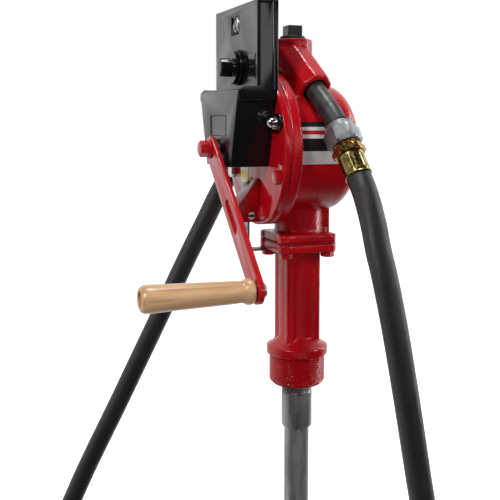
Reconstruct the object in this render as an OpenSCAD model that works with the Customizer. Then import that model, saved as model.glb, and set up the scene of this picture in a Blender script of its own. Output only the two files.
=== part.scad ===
// Rotary vane hand pump for drums and tanks, with a crank, a counter,
// a discharge hose and a telescoping suction tube. Millimetres.
// Frame: +Z up, +X to the nozzle side, -Y to the crank side.
// The origin is on the column axis, at the underside of its collar,
// where the two-inch bung thread begins.

/* [Drum fitting] */
// Outside radius of the two-inch pipe thread
thread_r = 30.16; // [29.8:0.02:30.3]
// Length of the threaded end below the collar
thread_len = 33; // [28:1:36]
// Radius of the collar above the thread
collar_r = 33; // [32:0.5:35]
// Height of the joint between the column and the pump head
joint_z = 123; // [118:1:128]
// Distance of each flange bolt from the column axis along X and Y
flange_bolt = 24; // [22:0.5:26]

/* [Pump head] */
// Height of the crank shaft above the collar
axis_z = 222.5; // [220:0.5:225]
// Outside radius of the barrel
barrel_r = 67; // [64:0.5:68]
// Outside radius of the cover and its flange
cover_r = 80; // [79:0.5:82]
// Radius of the pumping chamber
chamber_r = 50; // [46:0.5:52]
// Sideways offset of the chamber from the shaft
chamber_shift = 10; // [8:0.5:10]
// Radius of the crank shaft
shaft_r = 8; // [7:0.25:9]
// Radius of the circle through the cover bolts
bolt_circle_r = 70; // [69:0.5:71]
// Height of the top block
block_top = 336; // [330:1:340]

/* [Crank] */
// Distance from the shaft to the grip
crank_len = 178; // [160:1:190]
// Width of the flat bar
arm_w = 25; // [22:1:28]
// Thickness of the flat bar
arm_t = 5.5; // [4:0.5:6]
// Length of the wooden grip
grip_len = 104; // [90:1:120]
// Angle of the arm below the horizontal
arm_drop = 44; // [0:1:90]

/* [Counter] */
// Half width of the counter's upper box
box_half = 62; // [60:0.5:64]
// Top of the counter
box_top = 367; // [360:1:370]
// Front face of the counter's upper box
box_front = -71; // [-74:0.5:-69]
// Front face of the counter's lower shroud
shroud_front = -90; // [-91:0.5:-86]
// Half width of the shroud at its bottom
shroud_half = 37.5; // [34:0.5:40]
// Height of the reset knob's axis
knob_z = 305; // [302:1:310]

/* [Suction tube] */
// Bottom of the foot strainer with the tube pushed in
foot_z = -508; // [-560:1:-500]
// Outside radius of the fixed tube
tube_r = 13.5; // [13:0.25:14]
// Outside radius of the sliding tube
inner_r = 11.7; // [11.5:0.05:11.8]

/* [Hose and nozzle] */
// Outside diameter of the hose
hose_d = 24.6; // [24:0.2:25.4]
// Outside radius of the spout
spout_r = 10.75; // [9:0.25:11]
// Slope of the spout and its holder below the horizontal
holder_drop = 42; // [41:0.5:43]
// Turn of the spout and its holder towards the back
holder_turn = 13; // [12:0.5:14]

/* [Hidden] */
$fn = 64;
gap = 0.05;                                   // radial play of a screw in its hole
cover_face = -49;                             // front face of the front cover
cover_back = -42;                             // back face of the front cover
gasket_back = -41;                            // front face of the housing flange
ring_t = 11;                                  // thickness of the housing flange
bolt_tip = -32;                               // inner end of the cover bolts
chamber_back = 31;                            // back wall of the chamber
barrel_back = 45;                             // back face of the housing
block_y = -7;                                 // centre of the top block
holder_start = [0, -11, 322];                 // where the holder's axis leaves the block
holder_len = 60;                              // length of the holder from the block's centre
outlet_start = [0, -3, 305];                  // the same for the hose outlet on the far side
outlet_turn = 178;
outlet_drop = 25;
outlet_len = 72;
arm_back = -94;                               // back face of the crank arm
arm_front = arm_back - arm_t;
grip_x = crank_len * cos(arm_drop);
grip_z = axis_z - crank_len * sin(arm_drop);
grip_end = arm_front - 1.5;                   // inner end of the grip
box_back = -52;                               // front face of the counter's back plate
shelf_top = 281;                              // underside of the counter's upper box
shroud_bottom = 205;
bolt_angles = [-22.5, -67.5, -112.5, -157.5]; // cover bolts that stay in the open
ear_angles = [22.5, 157.5];                   // studs that hold the counter's ears
screw_angles = [67.5, 112.5];                 // screws hidden behind the counter
strap_angle = -112.5;                         // the cover bolt that also holds the strap
strap_t = 2;
strap_top = 168;                              // top of the strap on the cover
pinion_teeth = 16;
gear_teeth = 24;
gear_module = 1.25;
gear_z = axis_z + gear_module * (pinion_teeth + gear_teeth) / 2;
wheel_z = 348;                                // axis of the number wheels
wheel_y = -61.5;
wheel_r = 7.8;
bend_at = 44;                                 // straight run of the spout outside the holder
spout_turn = 8;                               // turn and drop of the spout past its bend
spout_drop = 54;
nut_r = 18.2;                                 // across the corners, halved
nut_start = 7.5;                              // the nut's upper end past the bend
nut_shoulder = 14;                            // where its cone meets the hexagon
nut_end = 32;
nipple_start = 22.4;                          // the nipple's end inside the nut
nipple_hex = 36;                              // start of the nipple's hexagon past the bend
nipple_end = 43;
ferrule_end = 67;                             // nozzle ferrule's mouth past the bend
outlet_end = 122;                             // outlet ferrule's mouth along the outlet axis

// Point at distance t from p along a line with the given turn and drop
function along(p, turn, drop, t) =
    [p[0] + t * cos(drop) * cos(turn), p[1] + t * cos(drop) * sin(turn), p[2] - t * sin(drop)];
holder_mouth = along(holder_start, holder_turn, holder_drop, holder_len);
bend_point = along(holder_mouth, holder_turn, holder_drop, bend_at);

// The spout's bend: directions before and after it, its plane, centre and reach
bend_in = along([0, 0, 0], holder_turn, holder_drop, 1);
bend_out = along([0, 0, 0], spout_turn, spout_drop, 1);
bend_radius = 60;
bend_angle = acos(bend_in * bend_out);
bend_run = bend_radius * tan(bend_angle / 2);
bend_axis = cross(bend_in, bend_out) / norm(cross(bend_in, bend_out));
to_centre = cross(bend_axis, bend_in);
bend_centre = bend_point - bend_run * bend_in + bend_radius * to_centre;

// ---- Shared shapes -------------------------------------------------------

// Cylinder whose axis runs along Y
module y_cyl(r, y0, y1, x = 0, z = axis_z)
    translate([x, y1, z]) rotate([90, 0, 0]) cylinder(r = r, h = y1 - y0);

// Ring whose axis runs along Y
module y_ring(r, hole, y0, y1, x = 0, z = axis_z)
    difference() {
        y_cyl(r, y0, y1, x, z);
        y_cyl(hole, y0 - 1, y1 + 1, x, z);
    }

// Ring whose axis runs along Z
module z_ring(r, hole, z0, z1)
    difference() {
        translate([0, 0, z0]) cylinder(r = r, h = z1 - z0);
        translate([0, 0, z0 - 1]) cylinder(r = hole, h = z1 - z0 + 2);
    }

// Turns +Z onto a sloping direction that starts at p
module sloping(p, turn, drop)
    translate(p) rotate([0, 90 + drop, turn]) children();

// Places a child on the cover's bolt circle, in front of the cover
module on_bolt_circle(angles)
    for (a = angles)
        translate([bolt_circle_r * cos(a), 0, axis_z + bolt_circle_r * sin(a)]) children();

// Hexagon head with its axis along Y, corners up and down
module y_hex(r, y0, y1, x = 0, z = 0)
    translate([x, y1, z]) rotate([90, 30, 0]) cylinder(r = r, h = y1 - y0, $fn = 6);

// Extrudes a shape drawn in X and Z along Y
module y_slab(y0, y1)
    translate([0, y1, 0]) rotate([90, 0, 0]) linear_extrude(y1 - y0) children();

// Spur gear outline with straight-flanked teeth
module gear_outline(teeth, m, hole, turn = 0)
    difference() {
        union() {
            circle(r = m * (teeth / 2 - 1.25));
            for (i = [0 : teeth - 1])
                rotate(turn + i * 360 / teeth)
                    polygon([[m * (teeth / 2 - 1.6), -m * 1.02], [m * teeth / 2, -m * 0.7],
                        [m * (teeth / 2 + 0.9), -m * 0.34], [m * (teeth / 2 + 0.9), m * 0.34],
                        [m * teeth / 2, m * 0.7], [m * (teeth / 2 - 1.6), m * 1.02]]);
        }
        circle(r = hole);
    }

function unit(v) = v / norm(v);
function path_dir(p, i) = unit(p[min(i + 1, len(p) - 1)] - p[max(i - 1, 0)]);
// Ring of points about point i of a path, square to the path
function path_ring(p, i, r, sides) =
    let(d = path_dir(p, i), u = unit(cross(d, [1, -1, 0.1])), v = cross(d, u))
    [for (k = [0 : sides - 1])
        p[i] + r * (cos(k * 360 / sides) * u + sin(k * 360 / sides) * v)];
function path_skin(p, r, sides) = [for (i = [0 : len(p) - 1]) each path_ring(p, i, r, sides)];

// Solid round bar along a path
module swept_bar(p, r, sides) {
    m = sides;
    last = (len(p) - 1) * m;
    walls = [for (i = [0 : len(p) - 2], k = [0 : m - 1])
        [i * m + k, i * m + (k + 1) % m, (i + 1) * m + (k + 1) % m, (i + 1) * m + k]];
    caps = [[for (k = [m - 1 : -1 : 0]) k], [for (k = [0 : m - 1]) last + k]];
    polyhedron(path_skin(p, r, m), concat(walls, caps), convexity = 10);
}

// Open round tube along a path: the outer skin, the inner skin and two end rings
module swept_tube(p, r, hole, sides) {
    m = sides;
    n = len(p);
    inner = n * m;
    walls = [for (i = [0 : n - 2], k = [0 : m - 1])
        [i * m + k, i * m + (k + 1) % m, (i + 1) * m + (k + 1) % m, (i + 1) * m + k]];
    bore = [for (w = walls) [w[3] + inner, w[2] + inner, w[1] + inner, w[0] + inner]];
    first = [for (k = [0 : m - 1]) [k, inner + k, inner + (k + 1) % m, (k + 1) % m]];
    last = [for (f = first) [for (j = [3 : -1 : 0]) f[j] + (n - 1) * m]];
    polyhedron(concat(path_skin(p, r, m), path_skin(p, hole, m)),
        concat(walls, bore, first, last), convexity = 10);
}

// ---- Pump head -----------------------------------------------------------

// Four-lobed square flange outline
module flange_outline()
    union() {
        square([62, 2 * flange_bolt], center = true);
        square([2 * flange_bolt, 62], center = true);
        for (x = [-1, 1], y = [-1, 1])
            translate([x * flange_bolt, y * flange_bolt]) circle(r = 9);
    }

// Barrel with a rounded back edge and a flange ring, turned about the shaft
module barrel_body()
    translate([0, 0, axis_z]) rotate([-90, 0, 0]) rotate_extrude() {
        translate([0, gasket_back]) square([cover_r, ring_t]);
        translate([0, gasket_back]) square([barrel_r, 25 - gasket_back]);
        square([barrel_r - 20, barrel_back]);
        intersection() {
            translate([barrel_r - 20, 25]) circle(r = 20);
            square([barrel_r + 1, barrel_back + 1]);
        }
    }

module pump_housing()
    color("firebrick") difference() {
        union() {
            barrel_body();
            translate([0, 0, joint_z + 0.5]) linear_extrude(9.5) flange_outline();
            translate([0, 0, joint_z + 0.5]) cylinder(r = 25, h = 45);
            translate([-5, 18, joint_z + 5]) cube([10, 18, 40]);
            translate([0, block_y, axis_z + 50])
                rotate(22.5) cylinder(r = 21, h = block_top - axis_z - 50, $fn = 8);
            sloping(holder_start, holder_turn, holder_drop)
                rotate(22.5) cylinder(r = 19.3, h = holder_len, $fn = 8);
            sloping(outlet_start, outlet_turn, outlet_drop)
                rotate(22.5) cylinder(r = 19.3, h = outlet_len, $fn = 8);
        }
        // Chamber, shaft bore and inlet passage
        y_cyl(chamber_r, gasket_back - 1, chamber_back, -chamber_shift);
        y_cyl(11 + gap, chamber_back - 1, 42);
        translate([0, 0, joint_z]) cylinder(r = 15, h = 60);
        // Discharge passage, plug thread and outlet port
        translate([0, block_y, axis_z + 40]) cylinder(r = 9, h = 120);
        translate([0, block_y, block_top - 20]) cylinder(r = 11 + gap, h = 21);
        sloping(outlet_start, outlet_turn, outlet_drop) cylinder(r = 8, h = outlet_len + 1);
        sloping(outlet_start, outlet_turn, outlet_drop)
            translate([0, 0, outlet_len - 14]) cylinder(r = 13 + gap, h = 15);
        // Blind socket that holds the spout, and a groove for it along the barrel
        sloping(holder_start, holder_turn, holder_drop)
            translate([0, 0, holder_len - 26]) cylinder(r = 12.5, h = 80);
        // Threaded holes for the cover and flange bolts
        on_bolt_circle(concat(bolt_angles, ear_angles, screw_angles))
            y_cyl(3.3, -42, bolt_tip + 0.5, 0, 0);
        for (x = [-1, 1], y = [-1, 1])
            translate([x * flange_bolt, y * flange_bolt, joint_z]) cylinder(r = 4.05, h = 9);
    }

module front_cover()
    color("firebrick") difference() {
        union() {
            y_cyl(cover_r, cover_face, cover_back);
            y_cyl(17, cover_face - 3, cover_face + 1);
        }
        y_cyl(11 + gap, cover_face - 10, cover_back + 1);
        on_bolt_circle(concat(bolt_angles, ear_angles, screw_angles))
            y_cyl(3.3, -50, -41, 0, 0);
    }

module cover_gasket()
    color("dimgray") difference() {
        y_cyl(cover_r - 0.5, cover_back, gasket_back);
        y_cyl(chamber_r, cover_back - 1, gasket_back + 1, -chamber_shift);
        on_bolt_circle(concat(bolt_angles, ear_angles, screw_angles))
            y_cyl(3.5, -50, -40, 0, 0);
    }

module cover_bolts()
    color("firebrick") for (a = bolt_angles) {
        seat = (a == strap_angle) ? cover_face - strap_t : cover_face;
        on_bolt_circle([a]) {
            y_hex(7.3, seat - 5.5, seat);
            y_cyl(3.25, seat - 1, bolt_tip, 0, 0);
        }
    }

// Studs with domed nuts over the counter's ears
module ear_nuts()
    color("silver") on_bolt_circle(ear_angles) {
        y_hex(6.5, box_back - 5.5, box_back);
        y_cyl(3.25, box_back - 1, bolt_tip, 0, 0);
        translate([0, box_back - 5.5, 0]) rotate([90, 0, 0]) rotate_extrude()
            intersection() {
                circle(r = 5.2);
                square(6);
            }
    }

// Folded hood on the cover, open underneath
module lock_bracket()
    color("firebrick") difference() {
        translate([-13, 0, 0]) rotate([90, 0, 90]) linear_extrude(26)
            polygon([[cover_face, 192], [-72, 165], [-70, 146.5], [cover_face, 146.5]]);
        translate([-10.5, 0, 0]) rotate([90, 0, 90]) linear_extrude(21)
            polygon([[cover_face + 1, 187.5], [-69.3, 164], [-67.4, 140], [cover_face + 1, 140]]);
    }

// Zinc strap from a cover bolt down and back to a flange bolt
module brace_strap()
    color("silver") difference() {
        union() {
            translate([-34, cover_face - strap_t, joint_z - 12])
                cube([18, strap_t, strap_top - joint_z + 12]);
            translate([-34, cover_face - strap_t, joint_z - 12])
                cube([18, 36, strap_t]);
        }
        on_bolt_circle([strap_angle]) y_cyl(3.3, cover_face - 4, cover_face + 1, 0, 0);
        translate([-flange_bolt, -flange_bolt, joint_z - 20]) cylinder(r = 4.05, h = 20);
        translate([-14, -14, joint_z - 20]) cylinder(r = 6.3, h = 20);
    }

module top_plug()
    color([0.08, 0.08, 0.08]) union() {
        translate([0, block_y, block_top - 18]) cylinder(r = 11, h = 20);
        translate([0, block_y, block_top + 1.5]) cylinder(r = 13, h = 2);
        translate([-8, block_y - 8, block_top + 3]) cube([16, 16, 11.5]);
    }

module plug_washer()
    color([0.2, 0.2, 0.2]) translate([0, block_y, 0])
        z_ring(14, 11 + gap, block_top, block_top + 1.5);

module front_bushing()
    color("peru") y_ring(11, shaft_r + gap, -48, cover_back);

module rear_bushing()
    color("peru") y_ring(11, shaft_r + gap, chamber_back, 41.5);

module shaft_seal()
    color([0.1, 0.1, 0.1]) y_ring(11, shaft_r + gap, -52, -48);

// ---- Rotor and crank -----------------------------------------------------

module rotor_shaft()
    color("silver") difference() {
        union() {
            y_cyl(shaft_r, arm_back, 41);
            y_cyl(5, arm_front, arm_back + 1);
        }
        y_cyl(3.05, arm_front - 1, arm_back + 16);
    }

// Slotted rotor, eccentric in the chamber
module rotor()
    color("slategray") difference() {
        y_ring(chamber_r - chamber_shift - 0.4, shaft_r, -41.5, 30.5);
        for (a = [45 : 90 : 315])
            translate([0, 0, axis_z]) rotate([0, a, 0]) translate([19, -42, -2.05])
                cube([30, 74, 4.1]);
    }

// Sliding vanes, drawn at rest inside their slots
module vanes()
    color("sandybrown")
        for (a = [45 : 90 : 315])
            translate([0, 0, axis_z]) rotate([0, a, 0]) translate([19.5, -41.5, -2])
                cube([19.5, 72, 4]);

module drive_pinion()
    color("ivory") y_slab(-80, -74) translate([0, axis_z])
        gear_outline(pinion_teeth, gear_module, shaft_r);

// Flat bar with round ends, a lightening slot and two holes
module crank_arm()
    color("firebrick") translate([0, arm_back, axis_z]) rotate([90, 0, 0]) rotate(-arm_drop)
        linear_extrude(arm_t) difference() {
            union() {
                circle(r = arm_w / 2);
                translate([0, -arm_w / 2]) square([crank_len, arm_w]);
                translate([crank_len, 0]) circle(r = arm_w / 2);
            }
            circle(r = 5.02);
            translate([crank_len, 0]) circle(r = 5.05);
            translate([75, -4.5]) square([32, 9]);
            for (x = [75, 107])
                translate([x, 0]) circle(r = 4.5);
        }

module crank_washer()
    color("firebrick") y_ring(10, 3.3, arm_front - 1.5, arm_front);

module crank_bolt()
    color("firebrick") {
        y_hex(8.6, arm_front - 11, arm_front - 1.5, 0, axis_z);
        y_cyl(3, arm_front - 2, arm_back + 15);
    }

// Steel spindle through the grip, riveted into the arm
module grip_spindle()
    color("silver") {
        y_cyl(5, grip_end - grip_len + 12, arm_back, grip_x, grip_z);
        y_cyl(7, arm_front - 1.2, arm_front, grip_x, grip_z);
        y_cyl(6.5, grip_end - grip_len + 9, grip_end - grip_len + 12, grip_x, grip_z);
    }

module spindle_cap()
    color("gray") y_cyl(6.5, arm_back, arm_back + 4.5, grip_x, grip_z);

// Turned beech grip: waist, swell, collar and a counterbored free end
module wood_grip()
    color("burlywood") difference() {
        translate([grip_x, grip_end, grip_z]) rotate([90, 0, 0]) rotate_extrude()
            polygon(concat([[5.08, 0], [9.4, 0], [11.4, 1.2], [12, 3], [12, 7], [11.2, 9], [10, 10]],
                [for (t = [0.14 : 0.08 : 0.86]) [9.8 + 2.9 * t, grip_len * t]],
                [[12.7, grip_len - 12], [12.5, grip_len - 4], [10.8, grip_len], [5.08, grip_len]]));
        y_cyl(7, grip_end - grip_len - 1, grip_end - grip_len + 13, grip_x, grip_z);
    }

// ---- Column and suction tube ---------------------------------------------

module column()
    color("firebrick") difference() {
        union() {
            translate([0, 0, -thread_len + 5]) cylinder(r = thread_r, h = thread_len - 5);
            translate([0, 0, -thread_len])
                cylinder(r1 = thread_r - 5, r2 = thread_r, h = 5);
            cylinder(r = collar_r, h = 10);
            translate([0, 0, 10]) cylinder(r1 = 31, r2 = 21, h = 7);
            cylinder(r = 20, h = joint_z - 1);
            for (x = [-1, 1], y = [-1, 1])
                translate([14 * x, 14 * y, 0]) cylinder(r = 6, h = joint_z - 1);
            translate([0, 0, joint_z - 10]) linear_extrude(9.5) flange_outline();
        }
        translate([0, 0, -thread_len - 1]) cylinder(r = 16.7 + gap, h = thread_len + 41);
        translate([0, 0, -thread_len]) cylinder(r = 14 + gap, h = joint_z + thread_len + 1);
        for (x = [-1, 1], y = [-1, 1])
            translate([x * flange_bolt, y * flange_bolt, joint_z - 20]) cylinder(r = 4.05, h = 21);
    }

module flange_gasket()
    color("dimgray") translate([0, 0, joint_z - 0.5]) linear_extrude(1) difference() {
        flange_outline();
        circle(r = 15);
        for (x = [-1, 1], y = [-1, 1])
            translate([x * flange_bolt, y * flange_bolt]) circle(r = 4.2);
    }

// Heads sit under the lower flange; one of them also holds the strap
module flange_bolts()
    color("firebrick") for (x = [-1, 1], y = [-1, 1]) {
        seat = (x < 0 && y < 0) ? joint_z - 10 - strap_t : joint_z - 10;
        translate([x * flange_bolt, y * flange_bolt, 0]) {
            translate([0, 0, seat - 5.5]) cylinder(r = 7.3, h = 5.5, $fn = 6);
            translate([0, 0, seat - 1]) cylinder(r = 4, h = joint_z + 8 - seat);
        }
    }

module suction_nipple()
    color("silver") z_ring(16.7, tube_r + gap, -81, 40);

module suction_tube()
    color("silver") z_ring(tube_r, 12, -470, 39);

module tube_gland()
    color("gray") union() {
        z_ring(15.5, tube_r + gap, -471, -455);
        z_ring(15.5, inner_r + 0.08, -478, -471);
    }

module inner_tube()
    color("silver") z_ring(inner_r, 10.4, foot_z + 6, -60);

// Slotted foot cap on the sliding tube
module foot_strainer()
    color("gray") difference() {
        union() {
            z_ring(13.2, inner_r + gap, foot_z + 6, foot_z + 20);
            z_ring(13.2, 10.4, foot_z, foot_z + 6);
            translate([0, 0, foot_z]) cylinder(r = 11, h = 1.5);
        }
        for (a = [0 : 60 : 120])
            rotate(a) translate([-20, -2, foot_z - 1]) cube([40, 4, 4.5]);
    }

// Seat ring with a three-armed stem guide
module valve_seat()
    color("goldenrod") {
        z_ring(14, 9, 96, 100);
        z_ring(4, 2.05, 92, 98);
        for (a = [0 : 120 : 240])
            rotate(a) translate([3.5, -1, 96]) cube([6, 2, 2]);
    }

module inlet_valve()
    color("goldenrod") {
        translate([0, 0, 100.05]) cylinder(r = 11.5, h = 3);
        translate([0, 0, 86]) cylinder(r = 2, h = 15);
        translate([0, 0, 84]) cylinder(r = 3, h = 1.5);
        translate([0, 0, 85.4]) cylinder(r = 2, h = 1);
    }

module strainer_screen()
    color("lightgray") difference() {
        union() {
            z_ring(14, 12.4, 42, 45);
            z_ring(12.8, 12, 42, 80);
            translate([0, 0, 79.2]) cylinder(r = 12.8, h = 0.8);
        }
        for (a = [0 : 30 : 150], z = [47 : 6 : 74])
            rotate(a) translate([-20, -1.6, z]) cube([40, 3.2, 3.6]);
    }

// ---- Counter -------------------------------------------------------------

// Outline of the shroud in X and Z, pulled in by w
module shroud_outline(w)
    polygon([[-box_half + 2 + w, shelf_top - w], [-shroud_half + w, shroud_bottom + w],
        [shroud_half - w, shroud_bottom + w], [box_half - 2 - w, shelf_top - w]]);

// Upper box with a window and a bore for the knob's spindle
module counter_housing()
    color([0.13, 0.13, 0.14]) difference() {
        union() {
            translate([-box_half, box_front, shelf_top]) cube([2 * box_half, box_back - box_front,
                box_top - shelf_top]);
            translate([-box_half + 2, shroud_front + 3, shelf_top])
                cube([2 * box_half - 4, 30, 2]);
        }
        translate([-box_half + 2.5, box_front + 2.5, shelf_top - 1])
            cube([2 * box_half - 5, 40, box_top - shelf_top - 1.5]);
        translate([-11.5, box_front - 1, wheel_z - 9.25]) cube([23, 10, 18.5]);
        y_cyl(4.05, box_front - 1, box_back, 8, knob_z);
    }

module counter_back_plate()
    color([0.1, 0.1, 0.1]) difference() {
        y_slab(box_back, cover_face) union() {
            translate([-box_half, shelf_top]) square([2 * box_half, box_top - shelf_top]);
            shroud_outline(0);
            for (a = ear_angles) {
                ear = [bolt_circle_r * cos(a), axis_z + bolt_circle_r * sin(a)];
                translate(ear) circle(r = 9);
                translate([min(ear[0], 0), ear[1] - 9]) square([abs(ear[0]), 18]);
            }
        }
        y_cyl(17.3, box_back - 1, cover_face + 1);
        on_bolt_circle(concat(ear_angles, screw_angles)) y_cyl(3.3, -60, -40, 0, 0);
    }

// Tapered lower shroud, open at the back and at the top
module counter_shroud()
    color([0.11, 0.11, 0.12]) difference() {
        y_slab(shroud_front, box_back) shroud_outline(0);
        y_slab(shroud_front + 2.5, box_back + 1) shroud_outline(2.5);
        y_cyl(10, shroud_front - 1, shroud_front + 4);
        translate([-24, shroud_front - 1, 236]) cube([48, 1.6, 20]);
    }

module counter_screws()
    color("silver") on_bolt_circle(screw_angles) {
        y_cyl(5.5, box_back - 3, box_back, 0, 0);
        y_cyl(3.25, box_back - 1, bolt_tip, 0, 0);
    }

module window_lens()
    color([0.7, 0.75, 0.78, 0.4]) translate([-11.4, box_front + 0.4, wheel_z - 9.15])
        cube([22.8, 1.2, 18.3]);

module knob_boss()
    color([0.1, 0.1, 0.1]) y_ring(18, 4.1, box_front - 3.5, box_front, 8, knob_z);

module reset_knob()
    color([0.08, 0.08, 0.08]) {
        y_cyl(4, box_front - 5, box_back - 3, 8, knob_z);
        y_cyl(17, box_front - 7.5, box_front - 3.8, 8, knob_z);
        y_cyl(9, -92, box_front - 7, 8, knob_z);
        for (a = [0 : 30 : 330])
            translate([8, 0, knob_z]) rotate([0, a, 0]) translate([8.6, -91, -0.6])
                cube([0.9, 12, 1.2]);
    }

// Axle of the number wheels on its two brackets
module wheel_axle()
    color("silver") {
        translate([-18, wheel_y, wheel_z]) rotate([0, 90, 0]) cylinder(r = 1.5, h = 36);
        for (x = [-17, 15])
            translate([x, wheel_y - 3, wheel_z - 3]) cube([2, box_back - wheel_y + 3, 6]);
    }

module number_wheel(x)
    color("white") translate([x - 3.5, wheel_y, wheel_z]) rotate([0, 90, 0]) difference() {
        cylinder(r = wheel_r, h = 7);
        translate([0, 0, -1]) cylinder(r = 1.55, h = 9);
    }

module tenths_wheel() number_wheel(7.5);
module ones_wheel() number_wheel(0);
module tens_wheel() number_wheel(-7.5);

module counter_gear()
    color("ivory") y_slab(-80, -74) translate([0, gear_z])
        gear_outline(gear_teeth, gear_module, 3.05, 180 / gear_teeth);

module gear_stud()
    color("silver") {
        y_cyl(3, -81, box_back, 0, gear_z);
        y_cyl(5, -73.5, -58, 0, gear_z);
    }

// ---- Labels --------------------------------------------------------------

module cover_label()
    color("white") translate([-43, cover_face - 0.25, 172]) cube([24, 0.25, 30]);

// Label wrapped on the near side of the barrel
module barrel_label()
    color("white") intersection() {
        y_ring(barrel_r + 0.25, barrel_r, -29, 20);
        translate([40, -30, 208]) cube([40, 60, 42]);
    }

module bracket_sticker()
    color("white") translate([13, -58, 153]) rotate([0, 90, 0]) cylinder(r = 4, h = 0.25);

// ---- Nozzle --------------------------------------------------------------

// Places children past the bend of the spout
module past_bend() sloping(bend_point, spout_turn, spout_drop) children();

// Centre line of the spout: a straight run, a bend and a tail into the nut
spout_path = concat([along(holder_mouth, holder_turn, holder_drop, -22)],
    [for (a = [0 : bend_angle / 4 : bend_angle + 0.01])
        bend_centre + bend_radius * (sin(a) * bend_in - cos(a) * to_centre)],
    [along(bend_point, spout_turn, spout_drop, nipple_start - 0.4)]);

module spout()
    color("dimgray") swept_tube(spout_path, spout_r, spout_r - 2, 32);

// Rubber sleeve above the nut
module spout_ring()
    color([0.15, 0.15, 0.15]) past_bend() translate([0, 0, nut_start - 3])
        z_ring(13, spout_r + 0.3, 0, 3);

module swivel_nut()
    color("silver") past_bend() difference() {
        union() {
            translate([0, 0, nut_start])
                cylinder(r1 = 13.2, r2 = nut_r * cos(30), h = nut_shoulder - nut_start);
            translate([0, 0, nut_shoulder])
                cylinder(r = nut_r, h = nut_end - nut_shoulder, $fn = 6);
        }
        translate([0, 0, nut_start - 1]) cylinder(r = spout_r + gap, h = 20);
        translate([0, 0, nipple_start - 0.1]) cylinder(r = 12.6 + gap, h = 20);
    }

// Brass nipple: threaded into the nut, with a hexagon below it
module hose_nipple()
    color("goldenrod") past_bend() difference() {
        union() {
            translate([0, 0, nipple_start]) cylinder(r = 12.6, h = nipple_end - nipple_start);
            translate([0, 0, nipple_hex])
                cylinder(r = 17, h = nipple_end - nipple_hex, $fn = 6);
        }
        translate([0, 0, nipple_start - 1]) cylinder(r = 8, h = 50);
    }

module nozzle_ferrule()
    color("darkkhaki") past_bend() translate([0, 0, nipple_end])
        z_ring(13.2, 8, 0, ferrule_end - nipple_end);

// ---- Hose outlet and hose ------------------------------------------------

module outlet_coupling()
    color("goldenrod") sloping(outlet_start, outlet_turn, outlet_drop)
        difference() {
            union() {
                translate([0, 0, outlet_len - 13]) cylinder(r = 13, h = 34);
                translate([0, 0, outlet_len + 2]) cylinder(r = 16.5, h = 12, $fn = 6);
            }
            translate([0, 0, outlet_len - 15]) cylinder(r = 8, h = 40);
        }

module outlet_ferrule()
    color("darkkhaki") sloping(outlet_start, outlet_turn, outlet_drop)
        translate([0, 0, outlet_len + 21])
            difference() {
                cylinder(r = 14, h = outlet_end - outlet_len - 21);
                translate([0, 0, -1]) cylinder(r = 8, h = 60);
            }

// Route of the hose from the outlet ferrule to the nozzle ferrule
outlet_mouth = along(outlet_start, outlet_turn, outlet_drop, outlet_end);
nozzle_mouth = along(bend_point, spout_turn, spout_drop, ferrule_end + 0.4);
hose_route = [outlet_mouth, [-137, 1, 239], [-157, 0, 222], [-173.5, -5, 202],
    [-186.5, -14.5, 179], [-195.5, -25.5, 154.5], [-201, -37, 128], [-210, -60, 78],
    [-222, -95, 0], [-241, -144, -110], [-260, -198, -229], [-275, -244, -350],
    [-277, -276, -470], [-258, -292, -585], [-214, -290, -680], [-148, -266, -742],
    [-72, -220, -768], [8, -160, -762], [80, -92, -722], [130, -22, -650],
    [156, 38, -550], [164, 72, -440], [162, 84, -320], [158, 78, -200], [157, 58, -94],
    [159, 44, -25], [159, 35, 21], [157, 27, 65], [151, 20, 108], [145, 17, 130],
    [138, 15.5, 153], [130, 14, 173], [122.5, 13, 186.5], nozzle_mouth];
hose_sides = 12;
steps_per_span = 2;

// Catmull-Rom point on span i of a route, at fraction t
function route_point(p, i, t) =
    let(a = p[max(i - 1, 0)], b = p[i], c = p[i + 1], d = p[min(i + 2, len(p) - 1)])
    0.5 * (2 * b + (c - a) * t + (2 * a - 5 * b + 4 * c - d) * t * t
        + (3 * b - a - 3 * c + d) * t * t * t);
hose_path = concat([for (i = [0 : len(hose_route) - 2], k = [0 : steps_per_span - 1])
    route_point(hose_route, i, k / steps_per_span)], [hose_route[len(hose_route) - 1]]);

module hose()
    color([0.12, 0.12, 0.12]) swept_bar(hose_path, hose_d / 2, hose_sides);

pump_housing();
front_cover();
cover_gasket();
cover_bolts();
ear_nuts();
lock_bracket();
brace_strap();
column();
flange_gasket();
flange_bolts();
top_plug();
plug_washer();
suction_nipple();
suction_tube();
tube_gland();
outlet_coupling();
outlet_ferrule();
front_bushing();
rear_bushing();
shaft_seal();
valve_seat();
strainer_screen();
counter_housing();
counter_back_plate();
counter_shroud();
counter_screws();
window_lens();
knob_boss();
wheel_axle();
gear_stud();
cover_label();
barrel_label();
bracket_sticker();
hose();
crank_arm();
crank_bolt();
crank_washer();
rotor_shaft();
rotor();
vanes();
drive_pinion();
grip_spindle();
spindle_cap();
wood_grip();
reset_knob();
tenths_wheel();
ones_wheel();
tens_wheel();
counter_gear();
spout();
spout_ring();
swivel_nut();
hose_nipple();
nozzle_ferrule();
inner_tube();
foot_strainer();
inlet_valve();
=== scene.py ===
"""Rotary vane hand pump for drums and tanks: a red cast head and column, a black
counter, a crank with a beech grip, a wrapped rubber hose and a telescoping
suction tube. Metres, in the frame's own axes: +Z up, -Y to the crank, +X to
the nozzle side, and the origin under the column's collar."""
import math
import bmesh
import bpy
import numpy as np
from mathutils import Matrix, Vector


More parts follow.
